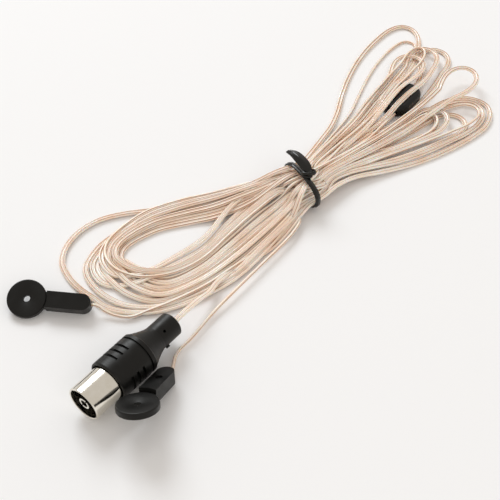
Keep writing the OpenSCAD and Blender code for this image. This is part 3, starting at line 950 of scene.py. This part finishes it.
            move = np.clip(move, -rule.furthest, rule.furthest)
            move[:, 2] += ((base[:, 2] - now[:, 2]) * rule.back_up - rule.sink) * (1 - near_tie)
            move[:, 2] += (base[:, 2] - now[:, 2]) * rule.back_in_tie * near_tie
            move[:, :2] += (base[:, :2] - now[:, :2]) * rule.back_flat
            now[loose] += move[loose]
            shift = now - base
            for _ in range(rule.spread_rounds):
                shift[mids] += rule.spread * ((shift[mids - 1] + shift[mids + 1]) / 2 - shift[mids])
            now = np.where(loose[:, None], base + shift, now)
            self.tie.hold(now, half_w, half_h)
            self.junction.clear(now, half_w, half_h, loose)
            now[:, 2] = np.maximum(now[:, 2], lowest)
        ends = np.cumsum([len(p) for p in lines])[:-1]
        return [self.ease(line, size, keep)
                for line, size, keep in zip(np.split(now, ends), sizes, free)]

    def ease(self, line: np.ndarray, size: WireSize, keep: int) -> np.ndarray:
        """Opens the bends that are tighter than the limit over about 4 mm. Shorter ones can stay.

        Args:
            line: the wire's points, in millimetres.
            size: the wire's section.
            keep: how many points at the start stay.

        Returns:
            The eased line.
        """
        line = line.copy()
        for _ in range(self.open_rounds):
            before, after = line[2:-2] - line[:-4], line[4:] - line[2:-2]
            short, long = np.linalg.norm(before, axis=1), np.linalg.norm(after, axis=1)
            cosine = np.clip((before * after).sum(axis=1) / (short * long), -1, 1)
            radius = (short + long) / 2 / np.maximum(np.arccos(cosine), 1e-6)
            tight = np.flatnonzero(radius < self.bend_limit * 2 * size.half_w) + 2
            tight = tight[(tight > keep) & (tight < len(line) - 2)]
            if not len(tight):
                break
            for t in tight:
                low, high = max(t - self.open_span + 1, keep + 1), min(t + self.open_span, len(line) - 3)
                middle = (line[max(t - self.open_middle, 0)]
                          + line[min(t + self.open_middle, len(line) - 1)]) / 2
                near = np.cos(np.pi * (np.arange(low, high) - t) / (2 * self.open_span)) ** 2
                line[low:high, :2] += self.open_push * near[:, None] * (line[low:high] - middle)[:, :2]
            around = range(-self.open_smooth, self.open_smooth + 1)
            for k in sorted({int(t + d) for t in tight for d in around if keep < t + d < len(line) - 2}):
                line[k] += self.open_spread * ((line[k - 1] + line[k + 1]) / 2 - line[k])
        return line

    @staticmethod
    def close_pairs(points: np.ndarray, wire: np.ndarray, order: np.ndarray,
                    reach: float = 3.6) -> tuple[np.ndarray, np.ndarray]:
        """Finds the pairs of points that may touch, apart from neighbours on one wire.

        Args:
            points: all points.
            wire: each point's wire.
            order: each point's number along its wire.
            reach: the largest distance of a pair.

        Returns:
            The two lists of point numbers.
        """
        first, second = [], []
        for start in range(0, len(points), 256):
            block = points[start:start + 256]
            far = ((block[:, None, :] - points[None, :, :]) ** 2).sum(axis=2)
            a, b = np.nonzero(far < reach * reach)
            a = a + start
            keep = (a < b) & ((wire[a] != wire[b]) | (np.abs(order[a] - order[b]) > 4))
            first.append(a[keep])
            second.append(b[keep])
        return np.concatenate(first), np.concatenate(second)

    @staticmethod
    def section(kind: Wire, size: WireSize) -> np.ndarray:
        """The outline of a wire's section, as points across and up.

        Args:
            kind: twin or single.
            size: the wire's half sizes.

        Returns:
            The points, in order round the section.
        """
        if kind is Wire.SINGLE:
            angles = np.radians(90 + 360 * np.arange(size.ring) / size.ring)
            return np.column_stack([np.cos(angles), np.sin(angles)]) * size.half_w
        offset = size.half_w - size.half_h
        sweep = np.radians(np.linspace(-155, 155, size.ring // 2))
        right = np.column_stack([offset + size.half_h * np.cos(sweep), size.half_h * np.sin(sweep)])
        return np.vstack([right, -right])

    def build(self, name: str, kind: Wire, line: np.ndarray,
              finish: bpy.types.Material) -> tuple[bpy.types.Object, list[list[float]]]:
        """Makes a wire's mesh along its line.

        Args:
            name: the piece's name.
            kind: twin or single.
            line: the wire's points, in millimetres.
            finish: the wire's material.

        Returns:
            The piece, and every third point of its middle line, in metres.
        """
        size = SIZES[kind]
        path = respace(smooth(line, 4), self.mesh_step)
        outline = self.section(kind, size)
        count, ring = len(path), len(outline)
        ahead = np.gradient(path, axis=0)
        ahead /= np.linalg.norm(ahead, axis=1)[:, None]
        across = np.cross(ahead, [0, 0, 1.0])
        across /= np.maximum(np.linalg.norm(across, axis=1)[:, None], 1e-6)
        rise = np.cross(across, ahead)
        along = np.arange(count) * self.mesh_step
        # The wire rolls a little to and fro on its way, in a long and a short wave
        roll = np.radians(14 * np.sin(along / 31.0) + 9 * np.sin(along / 12.7 + 1.3))
        cos, sin = np.cos(roll)[:, None, None], np.sin(roll)[:, None, None]
        x, y = outline[None, :, :1], outline[None, :, 1:]
        verts = (path[:, None, :] + across[:, None, :] * (x * cos - y * sin)
                 + rise[:, None, :] * (x * sin + y * cos))
        k, m = np.meshgrid(np.arange(count - 1), np.arange(ring), indexing="ij")
        n = (m + 1) % ring
        quads = np.stack([k * ring + m, k * ring + n, (k + 1) * ring + n, (k + 1) * ring + m], axis=-1)
        faces = quads.reshape(-1, 4).tolist()
        faces += [list(range(ring - 1, -1, -1)), list(range((count - 1) * ring, count * ring))]
        mesh = bpy.data.meshes.new(name)
        mesh.from_pydata((verts.reshape(-1, 3) * MM).tolist(), [], faces)
        around = (m / ring).reshape(-1)
        after = ((m + 1) / ring).reshape(-1)
        v0, v1 = (k * self.mesh_step * MM).reshape(-1), ((k + 1) * self.mesh_step * MM).reshape(-1)
        uv = np.stack([around, v0, after, v0, after, v1, around, v1], axis=-1).reshape(-1)
        layer = mesh.uv_layers.new(name="UVMap")
        layer.data.foreach_set("uv", np.concatenate([uv, np.zeros(4 * ring)]))
        piece = bpy.data.objects.new(name, mesh)
        bpy.context.scene.collection.objects.link(piece)
        mesh.materials.append(finish)
        mesh.shade_smooth()
        return piece, (path[::3] * MM).round(6).tolist() + [(path[-1] * MM).round(6).tolist()]

    def make(self) -> None:
        finish = ClearCordFinish()
        twin = finish.make("clear_pvc_figure_eight", 4)
        single = finish.make("clear_pvc_single", 3)
        feeder, feeder_free = self.feeder_line()
        left, left_free = self.arm_line(Side.LEFT)
        right, right_free = self.arm_line(Side.RIGHT)
        sizes = [SIZES[Wire.TWIN], SIZES[Wire.SINGLE], SIZES[Wire.SINGLE]]
        free = [feeder_free, left_free, right_free]
        rounds = self.rounds
        feeder, left, right = self.settle([feeder, left, right], sizes, free, rounds)
        jobs = (("feeder_wire", Wire.TWIN, feeder, twin, self.feeder_exit[0],
                 ("feeder_lead", "feeder_hank")),
                ("arm_wire_left", Wire.SINGLE, left, single, self.left_exit[0], ("arm_left_lead",)),
                ("arm_wire_right", Wire.SINGLE, right, single, self.right_exit[0], ("arm_right_lead",)))
        for name, kind, line, material, leave, nodes in jobs:
            piece, path = self.build(name, kind, line, material)
            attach(piece, "root")
            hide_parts(*nodes)


def dress(piece: bpy.types.Object, material: bpy.types.Material) -> None:
    """Gives a piece one material, in place of those it has."""
    piece.data.materials.clear()
    piece.data.materials.append(material)


def pick(item: bpy.types.Object) -> None:
    """Selects one object alone and makes it the active one."""
    bpy.ops.object.select_all(action="DESELECT")
    item.select_set(True)
    bpy.context.view_layer.objects.active = item


@dataclass
class CadDress:
    """Gives the nodes that keep their CAD shape the finish of the real piece."""

    plug_metal: NickelFinish = NickelFinish()
    moulded: MouldedFinish = MouldedFinish()
    insulator: MouldedFinish = MouldedFinish("#0B0B0C", "#121213", smooth=0.3, rough=0.5, grain_mm=0.3,
                                             grain_depth_mm=0.004)
    ferrule: FerruleFinish = FerruleFinish()

    def make(self) -> None:
        """Assigns the materials to the nodes."""
        nickel = self.plug_metal.make("bright_nickel_plate")
        black = self.moulded.make("satin_black_pvc_moulding")
        inner = self.insulator.make("black_acetal_insulator")
        tinned = self.ferrule.make("tinned_brass_ferrule")
        jobs = {nickel: ("plug_sleeve", "plug_contact"), inner: ("plug_insulator", "plug_core"),
                black: ("plug_boot", "junction_disc", "end_disc_left", "end_disc_right"),
                tinned: ("splice_left", "splice_right")}
        for material, nodes in jobs.items():
            for node in nodes:
                for piece in self.pieces(node):
                    dress(piece, material)
                LOG.info("%s is finished in %s", node, material.name)

    @staticmethod
    def pieces(node: str) -> list[bpy.types.Object]:
        """The mesh objects of a CAD node."""
        return [o for o in bpy.data.objects
                if o.type == "MESH" and (o.name == node or (o.parent and o.parent.name == node))]


@dataclass
class TwistTie:
    """The twist tie: a ribbon with a wire core, round the bundle and wrapped twice on top. Its plastic
    is a smooth extruded coat: near-black, with narrow bright highlights along its edges."""

    tie: Tie = field(default_factory=Tie)
    width: float = 2.1
    wing: float = 0.42
    core: float = 0.82
    loop_w: float = 19.1
    loop_h: float = 8.5
    finish: MouldedFinish = MouldedFinish("#0B0C0B", "#121312", smooth=0.12, rough=0.26, grain_mm=0.4,
                                          grain_depth_mm=0.006, sheen=0.6)

    def profile(self, name: str, upright: bool) -> bpy.types.Object:
        """The ribbon's section: two thin wings and a round core.

        Args:
            name: the section's name.
            upright: whether its width stands across a flat curve's plane.

        Returns:
            The section's curve.
        """
        half = self.width / 2
        left = [(-half, 0), (-half * 0.9, self.wing / 2), (-0.42, self.wing / 2), (-0.28, self.core * 0.42)]
        outline = [*left, (0, self.core / 2), *((-x, y) for x, y in left[::-1])]
        outline += [(x, -y) for x, y in outline[-2:0:-1]]
        points = [(y, x, 0) for x, y in outline[::-1]] if upright else [(x, y, 0) for x, y in outline]
        return self.curve(name, points, closed=True, flat=True)

    @staticmethod
    def curve(name: str, points: list[Point], closed: bool, flat: bool) -> bpy.types.Object:
        """Adds a poly curve.

        Args:
            name: its name.
            points: its points, in millimetres.
            closed: whether it runs back to its start.
            flat: whether it is a 2-D curve.

        Returns:
            The curve's object.
        """
        data = bpy.data.curves.new(name, "CURVE")
        data.dimensions = "2D" if flat else "3D"
        data.fill_mode = "NONE" if flat else "FULL"
        spline = data.splines.new("POLY")
        spline.points.add(len(points) - 1)
        for point, place in zip(spline.points, points):
            point.co = (*(c * MM for c in place), 1)
        spline.use_cyclic_u = closed
        item = bpy.data.objects.new(name, data)
        bpy.context.scene.collection.objects.link(item)
        return item

    def ribbon(self, name: str, points: list[Point], closed: bool, flat: bool, section: bpy.types.Object,
               widths: list[float] | None = None, tilts: list[float] | None = None) -> bpy.types.Object:
        """Sweeps the ribbon's section along a path and turns it into a mesh.

        Args:
            name: the piece's name.
            points: the path, in millimetres.
            closed: whether the path runs back to its start.
            flat: whether the path is a 2-D curve.
            section: the ribbon's section.
            widths: the section's size at each point, as a share of its own.
            tilts: its turn about the path at each point, in degrees.

        Returns:
            The piece.
        """
        item = self.curve(name, points, closed, flat)
        for k, point in enumerate(item.data.splines[0].points):
            point.radius = widths[k] if widths else 1.0
            point.tilt = math.radians(tilts[k]) if tilts else 0.0
        item.data.bevel_mode = "OBJECT"
        item.data.bevel_object = section
        item.data.use_fill_caps = not closed
        pick(item)
        bpy.ops.object.convert(target="MESH")
        return bpy.context.view_layer.objects.active

    def place(self, item: bpy.types.Object, matrix: Matrix) -> None:
        """Moves a piece's mesh to its place and leaves its origin at the world's."""
        item.matrix_world = matrix
        pick(item)
        bpy.ops.object.transform_apply(location=True, rotation=True, scale=True)
        item.data.shade_smooth()

    def band(self, section: bpy.types.Object) -> bpy.types.Object:
        """The part that goes round the bundle.

        Args:
            section: the ribbon's upright section.

        Returns:
            The piece.
        """
        half_w, half_h = self.loop_w / 2 + self.wing, self.loop_h / 2 + self.wing
        points = []
        for k in range(72):
            a = math.radians(5 * k)
            c, s = math.cos(a), math.sin(a)
            points.append((half_w * math.copysign(abs(c) ** (2 / self.tie.power), c),
                           half_h * math.copysign(abs(s) ** (2 / self.tie.power), s), 0))
        item = self.ribbon("twist_tie_band", points, True, True, section)
        x, y = self.tie.centre
        stand = (Matrix.Rotation(math.radians(self.tie.azimuth + 90), 4, "Z")
                 @ Matrix.Rotation(math.radians(90), 4, "X"))
        middle = self.tie.base - 0.05 + self.loop_h / 2
        self.place(item, Matrix.Translation((x * MM, y * MM, middle * MM)) @ stand)
        return item

    def knot(self) -> list[bpy.types.Object]:
        """The wraps on top.

        Returns:
            The two pieces.
        """
        items = []
        for index, (height, tilt, turn) in enumerate(((10.3, 8, -20), (11.2, -12, 30))):
            bpy.ops.mesh.primitive_torus_add(major_radius=1.25 * MM, minor_radius=0.55 * MM,
                                             major_segments=48, minor_segments=16)
            item = bpy.context.object
            item.name = f"twist_tie_wrap_{index + 1}"
            x, y = self.tie.centre
            middle = ((x + 1.3) * MM, (y - 0.6 + 0.4 * index) * MM, height * MM)
            self.place(item, Matrix.Translation(middle) @ Matrix.Rotation(math.radians(turn), 4, "Z")
                       @ Matrix.Rotation(math.radians(tilt), 4, "X") @ Matrix.Diagonal((1.15, 0.9, 1.1, 1)))
            items.append(item)
        return items

    def ends(self, section: bpy.types.Object) -> list[bpy.types.Object]:
        """The blade that points to the back and the small loop beside the knot.

        Args:
            section: the ribbon's section.

        Returns:
            The two pieces.
        """
        x, y = self.tie.centre
        blade = smooth(np.array([(x + 2, y - 0.6, 11), (x + 0.9, y + 1.4, 12), (x - 0.9, y + 4, 12.6),
                                 (x - 3.1, y + 7, 12.6), (x - 5.2, y + 9.6, 11.6)]), 8)
        count = len(blade)
        widths = [0.8 + 1.05 * math.sin(math.pi * min(1, 0.1 + 0.84 * k / (count - 1))) for k in range(count)]
        tilts = [-25 + 30 * k / count for k in range(count)]
        first = self.ribbon("twist_tie_blade", [tuple(p) for p in blade], False, False, section,
                            widths, tilts)
        loop = smooth(np.array([(x + 0.4, y - 1, 11), (x + 2.2, y - 1.7, 11.6), (x + 3.6, y - 1.2, 11.8),
                                (x + 4, y + 0.1, 11.6), (x + 3, y + 0.9, 11.2), (x + 1.6, y + 0.7, 10.9),
                                (x + 0.6, y + 0.1, 10.7)]), 8)
        second = self.ribbon("twist_tie_curl", [tuple(p) for p in loop], False, False, section,
                             [0.62] * len(loop), [60.0] * len(loop))
        for item in (first, second):
            self.place(item, Matrix.Identity(4))
        return [first, second]

    def make(self) -> None:
        """Builds the tie and dresses it."""
        section, wall = self.profile("tie_section", False), self.profile("tie_section_upright", True)
        material = self.finish.make("glossy_black_tie_plastic")
        for item in [self.band(wall), *self.knot(), *self.ends(section)]:
            dress(item, material)
            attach(item, "root")
            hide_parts("twist_tie")
            LOG.info("%s has %d faces", item.name, len(item.data.polygons))
        for item in (section, wall):
            bpy.data.objects.remove(item, do_unlink=True)


@dataclass
class Studio:
    """The camera, the floor and the soft light."""

    tilt: float = 43.0
    turn: float = 2.8
    place: Point = (0.0048, -0.2025, 0.208)
    lens: float = 62.86
    aim: Point = (0.01, 0.02, 0)

    def camera(self) -> None:
        """Sets the camera where the photograph was taken from."""
        data = bpy.data.cameras.new("camera")
        data.lens = self.lens
        data.sensor_width = 36
        data.sensor_fit = "HORIZONTAL"
        data.clip_start = 0.01
        camera = bpy.data.objects.new("camera", data)
        turn = (Matrix.Rotation(math.radians(self.tilt), 4, "X")
                @ Matrix.Rotation(math.radians(self.turn), 4, "Z"))
        camera.matrix_world = Matrix.Translation(self.place) @ turn
        bpy.context.scene.collection.objects.link(camera)
        bpy.context.scene.camera = camera

    def floor(self) -> None:
        """Lays the pale floor."""
        material, _, shader = new_material("pale_paper_floor")
        shader.inputs["Base Color"].default_value = srgb("#F6F5F4")
        shader.inputs["Roughness"].default_value = 0.8
        bpy.ops.mesh.primitive_plane_add(size=6, location=(0, 0, 0))
        floor = bpy.context.object
        floor.name = "floor"
        floor.data.materials.append(material)

    def light(self) -> None:
        """Hangs the soft boxes and sets the dim surroundings."""
        lamps = (("key", (-0.95, 1.9, 1.7), 1.3, 42.0, (0.88, 0.94, 1.0)),
                 ("front", (0.5, -0.7, 0.7), 0.6, 0.8, (1.0, 1.0, 1.0)))
        for name, place, size, power, colour in lamps:
            data = bpy.data.lights.new(name, "AREA")
            data.shape = "SQUARE"
            data.size = size
            data.energy = power
            data.color = colour
            lamp = bpy.data.objects.new(name, data)
            aim = Vector(self.aim) - Vector(place)
            turn = aim.to_track_quat("-Z", "Y").to_matrix().to_4x4()
            lamp.matrix_world = Matrix.Translation(place) @ turn
            bpy.context.scene.collection.objects.link(lamp)
        world = bpy.data.worlds.new("studio")
        world.use_nodes = True
        world.node_tree.nodes["Background"].inputs[0].default_value = (1, 0.955, 0.91, 1)
        world.node_tree.nodes["Background"].inputs[1].default_value = 0.67
        bpy.context.scene.world = world


def main() -> None:
    logging.basicConfig(level=logging.INFO, format="%(message)s")
    bpy.context.scene.view_settings.view_transform = "Standard"
    studio = Studio()
    studio.camera()
    Hank().make()
    CadDress().make()
    TwistTie().make()
    studio.floor()
    studio.light()


if __name__ == "__main__":
    main()
